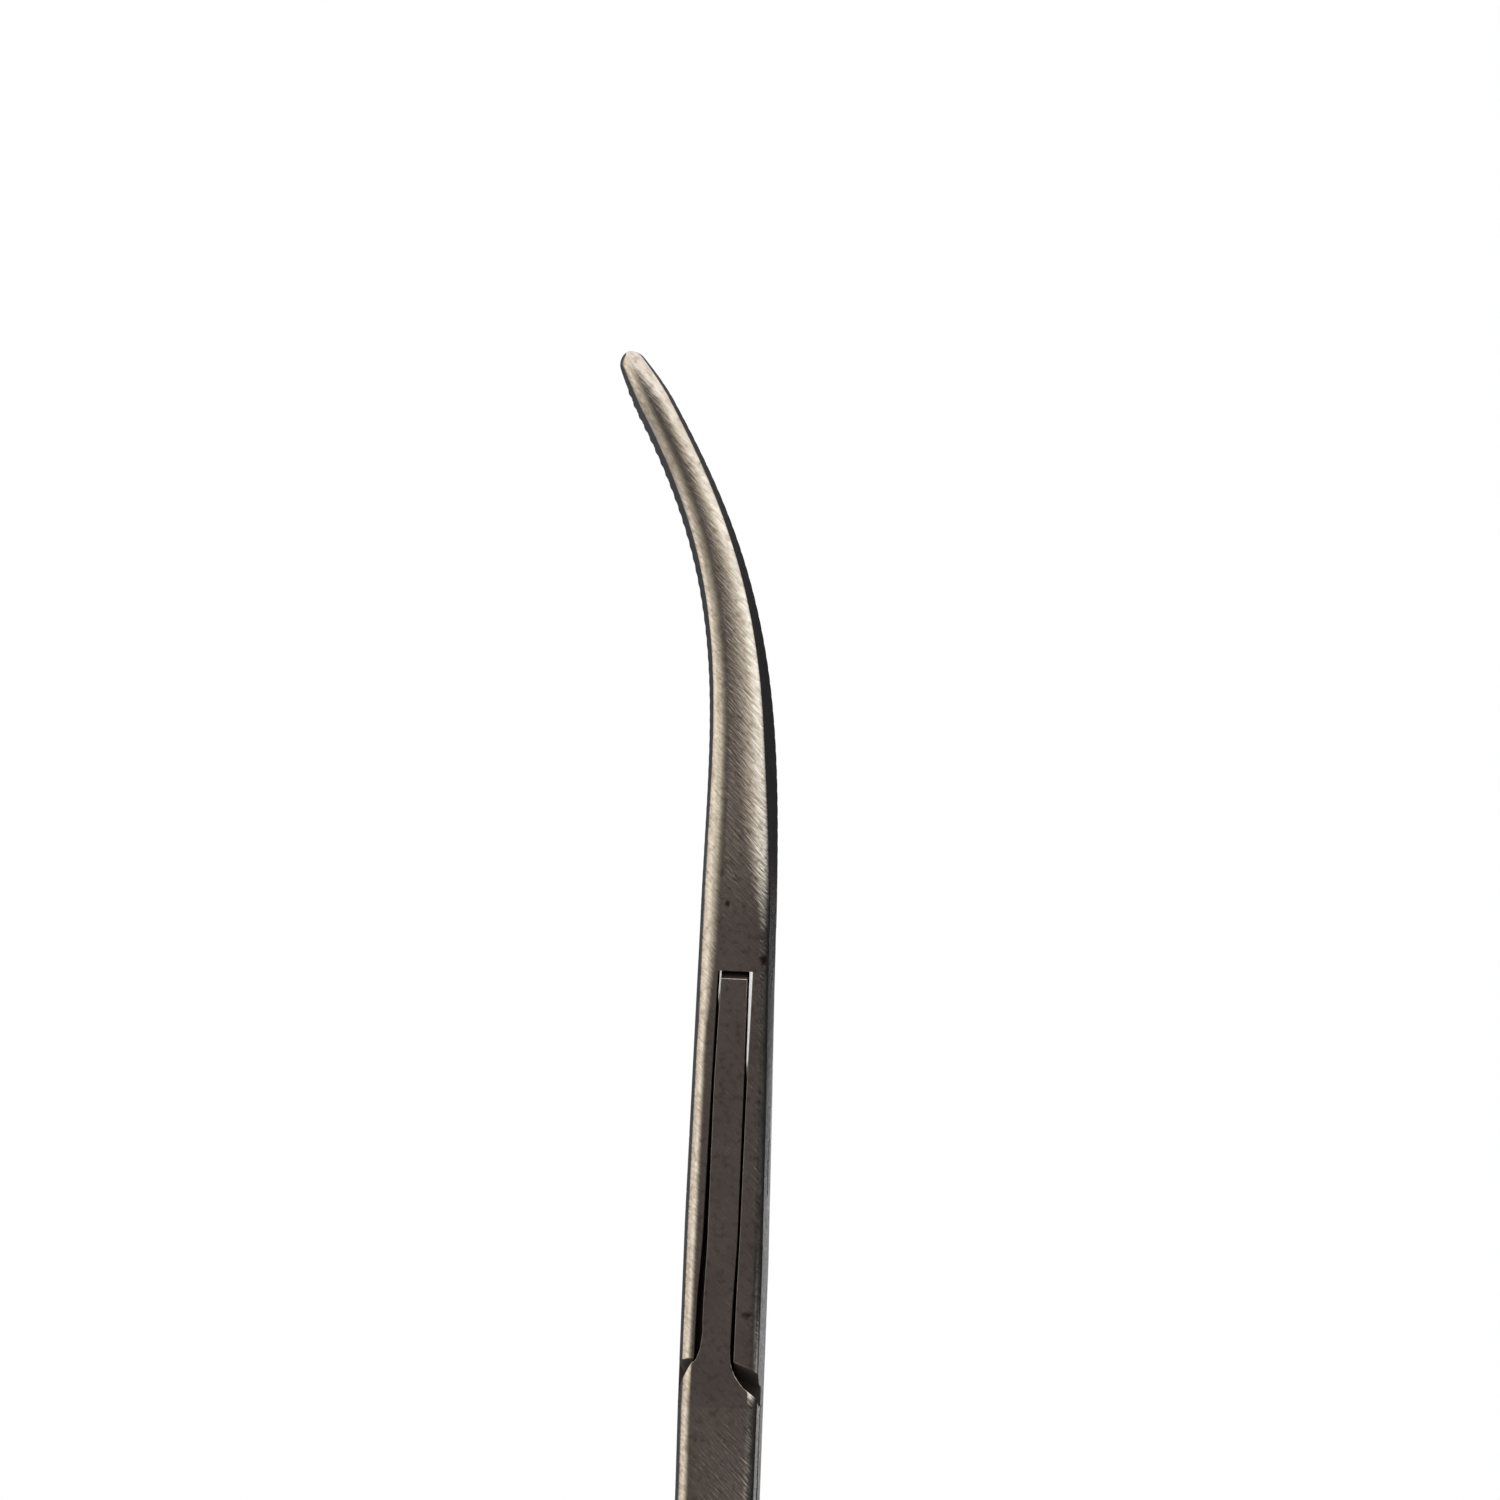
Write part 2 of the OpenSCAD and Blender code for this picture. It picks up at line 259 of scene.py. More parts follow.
def break_edges(piece, width, hidden_z):
    """Bevels the edges sharper than a set angle, except those of the end faces at the heights hidden_z.

    Slivers left by the booleans are merged or dissolved first.
    """
    sliver, flat, sharp = 0.003, np.radians(0.6), np.radians(35)
    form = bmesh.new()
    form.from_mesh(piece.data)
    bmesh.ops.remove_doubles(form, verts=form.verts, dist=sliver)
    bmesh.ops.dissolve_degenerate(form, edges=form.edges, dist=sliver)
    bmesh.ops.dissolve_limit(form, angle_limit=flat, verts=form.verts, edges=form.edges, delimit={"MATERIAL"})
    weight = form.edges.layers.float.new("bevel_weight_edge")
    for edge in form.edges:
        if len(edge.link_faces) != 2:
            continue
        at_end = any(all(abs(v.co.z - z) < 0.01 for v in edge.verts) for z in hidden_z)
        if not at_end and edge.calc_face_angle() > sharp:
            edge[weight] = 1.0
    form.to_mesh(piece.data)
    form.free()
    modifier = piece.modifiers.new("arris", "BEVEL")
    modifier.limit_method = "WEIGHT"
    modifier.width = width
    modifier.segments = 2
    modifier.use_clamp_overlap = False
    modifier.loop_slide = False
    modifier.miter_outer = "MITER_ARC"
    apply_modifiers(piece)


def finish_piece(piece, body, nodes, sharp_degrees=38, flats=False):
    """Scales the mesh to metres in the row frame, smooths its shading up to an angle, and hands it over.

    flats keeps large flat faces flat in shading, by weighting the normals at their corners by area.
    """
    piece.data.transform(Matrix.Translation((MIDDLE_X * MM, 0, 0)) @ Matrix.Scale(MM, 4))
    piece.data.shade_smooth()
    piece.data.set_sharp_from_angle(angle=np.radians(sharp_degrees))
    piece.data.update()
    if flats:
        modifier = piece.modifiers.new("flats", "WEIGHTED_NORMAL")
        modifier.keep_sharp = True
        modifier.weight = 80
        apply_modifiers(piece)
    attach(piece, body)
    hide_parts(*nodes)


# ---------- the body's own lines ----------

# Half thickness of the body at its middle plane, on the concave side and on the convex side, along z
SOFT_SIDE = ([-64.0, -21.0, -9.2, -2.0, 9.2], [1.55, 1.55, 1.63, 1.62, 1.47])
FIRM_SIDE = ([-64.0, -4.0, 2.5, 6.4, 9.2], [1.55, 1.55, 1.53, 1.50, 1.47])
# Lean of the flanks, in degrees: they are widest at the middle plane
SOFT_LEAN = ([-20.0, -12.0, 9.2], [0.0, 4.0, 4.0])
FIRM_LEAN = ([-4.0, 7.0, 9.2], [0.0, 2.4, 2.6])


def along(line, z):
    return np.interp(z, *line)


def lean(points):
    """Narrows the body away from its middle plane: x grows smaller by tan(lean) for each unit of |y|."""
    x, y, z = points[..., 0], points[..., 1], points[..., 2]
    half = np.where(x < 0, along(SOFT_SIDE, z), along(FIRM_SIDE, z))
    slope = np.tan(np.radians(np.where(x < 0, along(SOFT_LEAN, z), along(FIRM_LEAN, z))))
    leaned = points.copy()
    leaned[..., 0] = x * (1 - slope * np.abs(y) / half)
    return leaned


def quarter(start_degrees, steps=CORNER_STEPS):
    """Cosines and sines over 90 degrees from a start angle."""
    angle = np.radians(start_degrees + np.linspace(0, 90, steps + 1))
    return np.cos(angle), np.sin(angle)


# ---------- jaws ----------

# Share of the width lost at the tip, and the length over which it is lost
TIP_NARROWING, TIP_TAPER = 0.42, 2.4
# Height above the clamping face up to which the convex flank stands upright
UPRIGHT_FOOT = 0.12
# How slowly the jaw's back starts to fall away from the box, as a share of its length
JAW_EASE = 0.2
# Roundness of the serrations: 1 is a sharp triangle wave
WAVE_ROUND = 0.96


def jaw_line(sizes, s):
    """Place and heading at length s: heading turn * (1 - (1 - s/L)^2)^4, and its running sum as the place."""
    whole = mm(sizes.jaw_length)
    fine = np.linspace(0, whole, 1201)
    middle = (fine[1:] + fine[:-1]) / 2
    heading = sizes.jaw_turn * (1 - (1 - middle / whole) ** 2) ** 4
    step = fine[1]
    x = -np.concatenate([[0], np.cumsum(np.sin(heading) * step)])
    z = CURVE_START_Z + np.concatenate([[0], np.cumsum(np.cos(heading) * step)])
    turn = sizes.jaw_turn * (1 - (1 - s / whole) ** 2) ** 4
    return np.interp(s, fine, x), np.interp(s, fine, z), turn


def jaw_sections(width, inner, depth, soft, firm, slopes):
    """Loops [row, point, (p, q)] of a jaw.

    Each has a flat clamping face, leaning flanks, and a back of two quarter ellipses. p runs across the jaw
    and q away from its clamping face; every argument is an array over the rows.
    """
    half = width[:, None] / 2
    arris = np.minimum(0.04, 0.3 * half)
    inner, depth = inner[:, None], depth[:, None]
    (soft_p, soft_q), (firm_p, firm_q) = [[size[:, None] for size in pair] for pair in (soft, firm)]
    face = np.linspace(-1, 1, 11)[None, :]
    strip = np.array([[0.04, 0.3, 0.7, 0.96, 1]])
    c, s = quarter(270, 3)
    columns = [(face * (half - arris), inner * np.ones_like(face))]
    columns.append((half - arris + arris * c[None, 1:], inner + arris + arris * s[None, 1:]))
    columns.append((half * np.ones_like(strip), mix(inner + arris, depth - firm_q, strip)))
    c, s = quarter(0)
    columns.append((half - firm_p + firm_p * c[None, 1:], depth - firm_q + firm_q * s[None, 1:]))
    columns.append((mix(half - firm_p, -half + soft_p, strip), depth * np.ones_like(strip)))
    c, s = quarter(90)
    columns.append((-half + soft_p + soft_p * c[None, 1:], depth - soft_q + soft_q * s[None, 1:]))
    columns.append((-half * np.ones_like(strip), mix(depth - soft_q, inner + arris, strip)))
    c, s = quarter(180, 3)
    columns.append((-half + arris + arris * c[None, 1:-1], inner + arris + arris * s[None, 1:-1]))
    p, q = [
        np.concatenate([np.broadcast_to(pair[k], (len(width), pair[k].shape[1])) for pair in columns], axis=1)
        for k in (0, 1)
    ]
    slope = np.where(p < 0, slopes[0][:, None], slopes[1][:, None])
    reach = np.where(p < 0, q, np.maximum(q - UPRIGHT_FOOT, 0))
    return np.stack([p * (1 - slope * reach / np.maximum(half, 0.05)), q], axis=-1)


def jaw_loops(sizes, side):
    """Loops of one jaw along its curve, each a crowned section between leaning flanks.

    The serrations are a rounded triangle wave, asin(w cos(2 pi s / pitch)), which moves the clamping faces
    of both jaws the same way, so that the closed jaws interlock. Near the tip, d from its end, the width is
    multiplied by 1 - n (1 - d / l)^1.6 and by the round sqrt(1 - (1 - d / r)^2), and the depth is rounded
    alike.
    """
    whole, skip = mm(sizes.jaw_length), ROOT_Z - CURVE_START_Z
    tip_round, pitch = mm(sizes.tip_round), mm(sizes.serration_pitch)
    toothed = np.arange(skip, whole - tip_round, pitch / 8)
    rounded = whole - tip_round * (1 - np.sin(np.linspace(0, 1, 27) * np.pi / 2 * 0.985))
    s = np.concatenate([toothed, rounded])
    t = (s - skip) / (whole - skip)

    def end_round(radius):
        return np.sqrt(1 - np.clip(1 - (whole - s) / radius, 0, 1) ** 2)

    near_tip = np.clip(1 - (whole - s) / TIP_TAPER, 0, 1)
    narrow = (1 - TIP_NARROWING * near_tip**1.6) * end_round(tip_round / 2)
    play = 0.05 if side == FAR else 0.0
    taper = mix(mm(sizes.jaw_tip_width), mm(sizes.jaw_root_width), (1 + np.cos(np.pi * s / whole)) / 2)
    width = (taper - play * smooth(t * 4)) * narrow
    eased = (np.hypot(t, JAW_EASE) - JAW_EASE) / (np.hypot(1, JAW_EASE) - JAW_EASE)
    depth = mix(mm(sizes.jaw_tip_depth), HALF_WIDTH, (1 - eased) ** 1.35)
    depth *= mix(0.35, 1, end_round(3.2 * tip_round))
    wave = np.arcsin(WAVE_ROUND * np.cos(2 * np.pi * (s - skip) / pitch)) / np.arcsin(WAVE_ROUND)
    wave *= smooth((s - skip - 0.3) / 0.5) * (1 - smooth((s - whole + tip_round + 0.5) / 0.5))
    inner = mm(sizes.jaw_gap) / 2 + side * wave * mm(sizes.serration_height) / 2
    # The back is flat between two edges at the root, and becomes an oval whose crest moves to the middle.
    oval = smooth((s - skip) / (0.5 * whole))
    crest = mix(0.3, 0.5, smooth((t - 0.25) / 0.7))
    crown = np.minimum(mm(sizes.jaw_crown), 0.7 * depth)
    soft_q, firm_q = [mix(mm(size), crown, oval) for size in (sizes.soft_edge_depth, sizes.firm_edge)]
    soft = (mix(mm(sizes.jaw_edge_width), crest * width, oval), soft_q)
    firm = (mix(mm(sizes.firm_edge), (0.98 - crest) * width, oval**0.5), firm_q)
    leans = (mix(4.0, 20.0, t**2.2), mix(2.6, 8.0, smooth(3 * t)))
    loops = jaw_sections(width, inner, depth, soft, firm, [np.tan(np.radians(degrees)) for degrees in leans])
    x, z, turn = [a[:, None] for a in jaw_line(sizes, s)]
    p, q = loops[..., 0], loops[..., 1]
    return np.stack([x + p * np.cos(turn), side * q, z + p * np.sin(turn)], axis=-1)


# ---------- box lock ----------

# Length over which the concave edge's rounding widens towards the jaws
JAW_EDGE_RUN = 5.0


def body_bar(sizes):
    """Closed bar of the whole box: a rounded rectangle at each height, with leaning flanks.

    Each flank has its own points near the middle plane, so that its ridge there is kept.
    """
    z = np.linspace(-ROOT_Z, ROOT_Z, 25)[:, None]
    widening = smooth((ROOT_Z - z) / JAW_EDGE_RUN)
    soft_p = mix(mm(sizes.jaw_edge_width), mm(sizes.soft_edge_width), widening)
    soft_q, firm = mm(sizes.soft_edge_depth), mm(sizes.firm_edge)
    left, right = along(SOFT_SIDE, z), along(FIRM_SIDE, z)
    flank = np.array([[-2.0, -1.0, -0.25, 0.0, 0.25, 1.0, 2.0]])
    parts = []
    for start, (rx, ry), x_side, y_side in (
        (0, (firm, firm), 1, 1),
        (90, (soft_p, soft_q), -1, 1),
        (180, (soft_p, soft_q), -1, -1),
        (270, (firm, firm), 1, -1),
    ):
        c, s = quarter(start)
        edge = right if x_side > 0 else left
        x = x_side * (edge - rx) + rx * c[None, :]
        y = y_side * (HALF_WIDTH - ry) + ry * s[None, :] + 0 * z
        parts.append(np.stack([x, y, z + 0 * x], axis=-1))
        if x_side != y_side:
            parts.append(np.stack(np.broadcast_arrays(x_side * edge, x_side * flank, z), axis=-1))
    return loft(lean(np.concatenate(parts, axis=1)))


def sector(start, end, radius, x):
    """Closed wedge about the pivot: x by angle by radius, from the radius at each x out past the bar."""
    angle = np.radians(np.linspace(start, end, 49))[None, :]
    near, far = [
        np.stack(np.broadcast_arrays(x[:, None], r * np.cos(angle), r * np.sin(angle)), axis=-1)
        for r in (radius[:, None], PAST_WIDTH)
    ]
    return loft(np.concatenate([near, far[:, ::-1]], axis=1))


def wheel(profile_at, turns=96):
    """Closed wheel about the pivot: rings of (x, radius), each a function of the angle, and two hubs."""
    angle = np.radians(np.arange(turns) * 360 / turns)
    rings = []
    for x, r in profile_at(angle):
        rings.append(np.stack(np.broadcast_arrays(x, r * np.cos(angle), r * np.sin(angle)), axis=-1))
    return loft(np.stack(rings))


# Places of the slot's and the tenon's walls across the thickness, along z
SLOT_SOFT = (
    [-9.0, -7.3, -5.2, -2.9, 3.3, 7.3, 9.0],
    [-0.93, -0.924, -0.90, -0.766, -0.643, -0.56, -0.55],
)
SLOT_FIRM = ([-9.0, -7.4, -5.2, -2.9, 3.3, 7.3, 9.0], [0.60, 0.60, 0.61, 0.66, 0.70, 0.766, 0.78])
TENON_SOFT = ([-9.0, -5.2, -2.9, 3.3, 7.3, 9.0], [-0.66, -0.643, -0.574, -0.555, -0.44, -0.42])
TENON_FIRM = ([-9.0, -7.2, -5.2, -2.9, 3.3, 7.3], [0.45, 0.455, 0.477, 0.57, 0.59, 0.577])
# Radius about the pivot of the cheeks' free ends, across the thickness
CHEEK_END = (
    [-1.7, -1.567, -1.45, -1.335, -0.92, 0.6, 0.91, 1.38, 1.7],
    [7.5, 7.67, 7.95, 8.05, 8.09, 8.15, 8.26, 8.42, 8.5],
)
# Radius about the pivot of the shoulders that grow out of the tenon, across the thickness
SHOULDER_SOFT = (
    [0.62, 0.66, 0.716, 0.828, 0.90, 1.0, 1.06, 1.53, 2.4],
    [7.0, 7.42, 7.76, 8.05, 8.16, 8.22, 8.29, 8.97, 10.2],
)
SHOULDER_FIRM = (
    [0.45, 0.48, 0.56, 0.66, 0.78, 1.02, 1.22, 1.4, 2.4],
    [7.6, 8.12, 8.42, 8.62, 8.79, 9.06, 9.2, 9.3, 9.8],
)
# Radii of the shoulders: where they clear the cheeks' far ends, where they leave the fillet, the most that
# they reach at the middle plane, and from where on they run past the body
FAR_CLEAR, FILLET_END, MIDDLE_REACH, OUTER_REACH = 8.22, 8.15, 9.12, 9.6


def bore(sizes, clearance, wall):
    """Tool for the pin's bore: a round wheel through the whole thickness."""
    radius = mm(sizes.pin_diameter) / 2 + clearance

    def hole(angle):
        for place in (-PAST_FLANKS, PAST_FLANKS):
            yield place, radius + 0 * angle

    return store("bore", *wheel(hole, 72), wall)


def female_lock(sizes, wall):
    """The box: the bar less two wedges between its cheeks' ends and the other half, the slot and the bore."""
    piece = store("lock_female", *body_bar(sizes))
    x = np.linspace(-PAST_FLANKS, PAST_FLANKS, 61)
    ends = np.interp(x, *CHEEK_END)
    across = np.degrees(np.arcsin(PARTING / PARTING_RADIUS))
    tools = [
        store("front", *sector(5, 90 + across, ends, x), wall),
        store("rear", *sector(185, 270 + across, ends, x), wall),
    ]
    radius = mm(sizes.slot_radius)
    shares = np.array([0.03, 0.3, 0.5, 0.7, 0.85, 1.0])

    def slot(angle):
        for share in shares:
            yield along(SLOT_SOFT, share * radius * np.sin(angle)), share * radius
        for share in shares[::-1]:
            yield along(SLOT_FIRM, share * radius * np.sin(angle)), share * radius

    tools.append(store("slot", *wheel(slot), wall))
    tools.append(bore(sizes, 0.012, wall))
    cut(piece, tools)
    return piece


def male_lock(sizes, wall):
    """The tenon and its shoulders: the bar less two wedges, the spaces for both cheeks, and the bore."""
    piece = store("lock_male", *body_bar(sizes))
    radius = mm(sizes.tenon_radius)
    across = np.degrees(np.arcsin(PARTING / radius))
    x = np.linspace(-PAST_FLANKS, PAST_FLANKS, 13)
    ends = np.full_like(x, radius)
    tools = [
        store("front", *sector(90 - across, 175, ends, x), wall),
        store("rear", *sector(270 - across, 355, ends, x), wall),
    ]
    shares = np.array([0.03, 0.25, 0.45, 0.62, 0.75, 0.86, 0.95])

    def shoulder(side, wall_line, line):
        def rings(angle):
            # The fillet and shoulder stand only behind the tenon's own half; elsewhere there is a plain
            # wall. On the far side, whose slot is narrow at its end, the fillet starts past the cheeks.
            start = line[1][0]
            far_side = np.cos(angle) > 0
            for share in shares:
                yield along(wall_line, share * start * np.sin(angle)), share * start
            last = np.where(far_side, FAR_CLEAR - 0.04, 0.99 * start)
            yield along(wall_line, last * np.sin(angle)), last
            off_middle = smooth(np.abs(np.cos(angle)) * 9 / HALF_WIDTH)
            own_half = np.sin(angle) * np.cos(angle) > -0.02
            for place, reach in zip(*line):
                face = mix(min(reach, MIDDLE_REACH), reach, off_middle) if reach < OUTER_REACH else reach
                if reach < FILLET_END:
                    x_here = np.where(own_half, side * place, along(wall_line, reach * np.sin(angle)))
                else:
                    x_here = side * place
                yield x_here, np.where(far_side, np.maximum(face, FAR_CLEAR + 0.1 * place), face)
            yield side * 3.2, line[1][-1] + 0 * angle

        return rings

    tools.append(store("cheek_space_soft", *wheel(shoulder(-1, TENON_SOFT, SHOULDER_SOFT), 144), wall))
    tools.append(store("cheek_space_firm", *wheel(shoulder(1, TENON_FIRM, SHOULDER_FIRM), 144), wall))
    tools.append(bore(sizes, 0.02, wall))
    cut(piece, tools)
    return piece


# ---------- handles ----------


def ellipse_distance(y, z, half_y, half_z):
    """Nearly the distance to an ellipse: k (k - 1) / |gradient of k|, where k is the scaled radius."""
    k = np.hypot(y / half_y, z / half_z)
    slope = np.hypot(y / half_y**2, z / half_z**2)
    return k * (k - 1) / np.maximum(slope, 1e-6)


# Shank centre from the middle plane, and depth of the shank, where it leaves the box
SHANK_START_OFFSET, SHANK_START_DEPTH = 1.75, 3.3
# Height at which the shank's band ends inside the ring, and the reach of the blend between the two
BAND_END_Z, BLEND_REACH = -68.5, 2.6
# Height down to which the outline follows the shank; below it, the outline goes round the ring
SHANK_FOLLOWED_Z = -60.5
# Thinning of the shank in the middle of its length
SHANK_THINNING = 0.15


class HandleLines:
    """The handle seen from its flat side: a shank that runs out of the box and into an oval ring."""

    def __init__(self, sizes):
        self.drop = mm(sizes.shank_end_drop)
        self.end_offset = mm(sizes.shank_end_offset)
        self.end_depth = mm(sizes.shank_end_depth)
        self.rim = mm(sizes.rim_width)
        self.half_y = mm(sizes.ring_width) / 2
        self.half_z = mm(sizes.ring_height) / 2
        self.ring_y = RING_HIGH.y / MM - self.half_y
        self.ring_z = RING_LOW.z / MM + self.half_z

    def share(self, z):
        return (-z - ROOT_Z) / (self.drop - ROOT_Z)

    def offset(self, z):
        t = np.maximum(self.share(z), 0)
        return mix(SHANK_START_OFFSET, self.end_offset, t**1.2)

    def half_depth(self, z):
        return mix(SHANK_START_DEPTH, self.end_depth, np.clip(self.share(z), 0, 1)) / 2

    def outside(self, y, z):
        """Signed distance to the handle without its hole.

        It is the smooth union of the shank's band a and the ring's ellipse b: with h = 1/2 + (b - a) / 2k
        held between 0 and 1, it is b + (a - b) h - k h (1 - h).
        """
        band = np.abs(y - self.offset(z)) * 0.99 - self.half_depth(z)
        band = np.maximum(band, BAND_END_Z - z)
        ring = ellipse_distance(y - self.ring_y, z - self.ring_z, self.half_y, self.half_z)
        h = np.clip(0.5 + (ring - band) / BLEND_REACH / 2, 0, 1)
        return mix(ring, band, h) - BLEND_REACH * h * (1 - h)

    def crossing(self, start, direction, nearest, furthest):
        """Distance along each ray at which it leaves the handle, by bisection."""
        low = np.full(len(start), nearest)
        high = np.full(len(start), furthest)
        for _ in range(40):
            middle = (low + high) / 2
            point = start + direction * middle[:, None]
            inside = self.outside(point[:, 0], point[:, 1]) < 0
            low = np.where(inside, middle, low)
            high = np.where(inside, high, middle)
        return start + direction * low[:, None]

    def outline(self, spacing):
        """Evenly spaced points [y, z] down the outer side, round the ring and up the inner side."""
        z = np.linspace(-ROOT_Z, SHANK_FOLLOWED_Z, 200)
        spine = np.stack([self.offset(z), z], axis=1)
        outer = self.crossing(spine, np.tile([1.0, 0.0], (len(z), 1)), 0.0, 6.0)
        inner = self.crossing(spine, np.tile([-1.0, 0.0], (len(z), 1)), 0.0, 6.0)
        centre = np.array([self.ring_y, self.ring_z])
        first, last = [np.arctan2(*(point - centre)[::-1]) for point in (outer[-1], inner[-1])]
        angle = np.linspace(first, last - 2 * np.pi, 900)[1:-1]
        rays = np.stack([np.cos(angle), np.sin(angle)], axis=1)
        ring = self.crossing(np.tile(centre, (len(angle), 1)), rays, 9.0, 26.0)
        points = np.concatenate([outer, ring, inner[::-1]])
        run = np.concatenate([[0], np.cumsum(np.linalg.norm(np.diff(points, axis=0), axis=1))])
        even = np.linspace(0, run[-1], int(run[-1] / spacing))
        return np.stack([np.interp(even, run, points[:, k]) for k in (0, 1)], axis=1)


def across_normals(points):
    """Unit normals to the left of a polyline, from central differences, and level at its ends."""
    ahead = np.gradient(points, axis=0)
    ahead[[0, -1], 0] = 0
    normals = np.stack([-ahead[:, 1], ahead[:, 0]], axis=1)
    return normals / np.linalg.norm(normals, axis=1)[:, None]


def half_thickness(z):
    """Half thickness at height z, on the soft and the firm side; the shank thins a little before its ring."""
    thin = SHANK_THINNING * smooth((-z - 14) / 36) * (1 - smooth((-z - 58) / 12))
    return along(SOFT_SIDE, z) - thin, along(FIRM_SIDE, z) - thin


def edge_profile(points, inward, soft, firm):
    """Surface [station, point, xyz] of the handle's edge, from one flat side to the other.

    On each side a quarter ellipse leads from the flat, inset by ry, to the wall, rx below the flat; soft and
    firm are the (rx, ry) of the concave and the convex side at every station.
    """
    low, high = half_thickness(points[:, 1])
    c, s = quarter(0)
    firm_x = (high - firm[0])[:, None] + firm[0][:, None] * s[::-1][None, :]
    firm_d = firm[1][:, None] * (1 - c[::-1])[None, :]
    wall = np.linspace(0, 1, 5)[None, 1:-1]
    wall_x = mix((high - firm[0])[:, None], (-low + soft[0])[:, None], wall)
    soft_x = (-low + soft[0])[:, None] - soft[0][:, None] * s[None, :]
    soft_d = soft[1][:, None] * (1 - c)[None, :]
    x = np.concatenate([firm_x, wall_x, soft_x], axis=1)
    d = np.concatenate([firm_d, np.zeros_like(wall_x), soft_d], axis=1)
    yz = points[:, None, :] + inward[:, None, :] * d[..., None]
    return np.concatenate([x[..., None], yz], axis=-1)


def flat_triangles(loops, keep):
    """Triangles between loops, each given as (its [y, z] points, their indices, closed).

    Those stay whose middle keep(y, z) accepts.
    """
    points = np.concatenate([loop for loop, _, _ in loops])
    names = np.concatenate([index for _, index, _ in loops])
    edges, start = [], 0
    for loop, _, closed in loops:
        count = len(loop)
        edges += [(start + i, start + (i + 1) % count) for i in range(count)]
        start += count
    result = delaunay_2d_cdt([Vector(p) for p in points.tolist()], edges, [], 1, 1e-7)
    corners = np.array([[names[result[3][v][0]] for v in face] for face in result[2]])
    places = np.array([[tuple(result[0][v]) for v in face] for face in result[2]]).mean(axis=1)
    return corners[keep(places[:, 0], places[:, 1])]


def handle(sizes, side):
    """One handle: the edge surface round the outline and round the ring's hole, two flats and the end."""
    lines = HandleLines(sizes)
    outer = lines.outline(0.36)
    along_shank = np.clip(lines.share(outer[:, 1]), 0, 1)
    inner_side = np.arange(len(outer)) > len(outer) / 2
    ease = smooth(2 * along_shank)
    rim = mm(sizes.rim_edge)

    def grow(outside_start):
        return mix(np.where(inner_side, 0.16, outside_start), rim, ease)

    soft = (grow(mm(sizes.soft_edge_width)), grow(mm(sizes.soft_edge_depth)))
    firm = (grow(mm(sizes.firm_edge)), grow(mm(sizes.firm_edge)))
    normals = across_normals(outer)
    middle = np.stack([lines.offset(outer[:, 1]), outer[:, 1]], axis=1)
    if np.einsum("i,i->", normals[5], (middle - outer)[5]) < 0:
        normals = -normals
    skin = edge_profile(outer, normals, soft, firm)

    angle = np.radians(np.arange(180) * 2.0)
    half_y, half_z = lines.half_y - lines.rim, lines.half_z - lines.rim
    hole = np.stack([lines.ring_y + half_y * np.cos(angle), lines.ring_z + half_z * np.sin(angle)], axis=1)
    away = np.stack([np.cos(angle) * half_z, np.sin(angle) * half_y], axis=1)
    away /= np.linalg.norm(away, axis=1)[:, None]
    rims = np.full(len(hole), rim)
    hole_skin = edge_profile(hole, away, (rims, rims), (rims, rims))

    stations, columns, _ = skin.shape
    holes = len(hole)
    points = np.concatenate([skin.reshape(-1, 3), hole_skin.reshape(-1, 3)])
    faces = grid_faces(stations, columns, False).tolist()
    base = stations * columns
    ring_faces = grid_faces(holes + 1, columns, False) % (holes * columns) + base
    faces += ring_faces[:, ::-1].tolist()

    def solid(y, z):
        return ellipse_distance(y - lines.ring_y, z - lines.ring_z, half_y, half_z) > 0.97 * rim

    for column, flip in ((0, False), (columns - 1, True)):
        loops = [
            (skin[:, column, 1:], np.arange(stations) * columns + column, False),
            (hole_skin[:, column, 1:], base + np.arange(holes) * columns + column, True),
        ]
        made = flat_triangles(loops, solid)
        faces += (made if flip else made[:, ::-1]).tolist()
    faces.append(list(range(columns)) + list(range((stations - 1) * columns, stations * columns))[::-1])
    points = lean(points)
    points[:, 1] *= side
    return points, faces


# Parts of a ratchet bar: gap from the middle of the thickness, free end, corner radii and its bevelled end
CREST_GAP, BAR_END_Y = 0.04, -2.6
BACK_RADIUS, TOOTH_RADIUS, BAR_BEVEL = 0.3, 0.1, 0.35


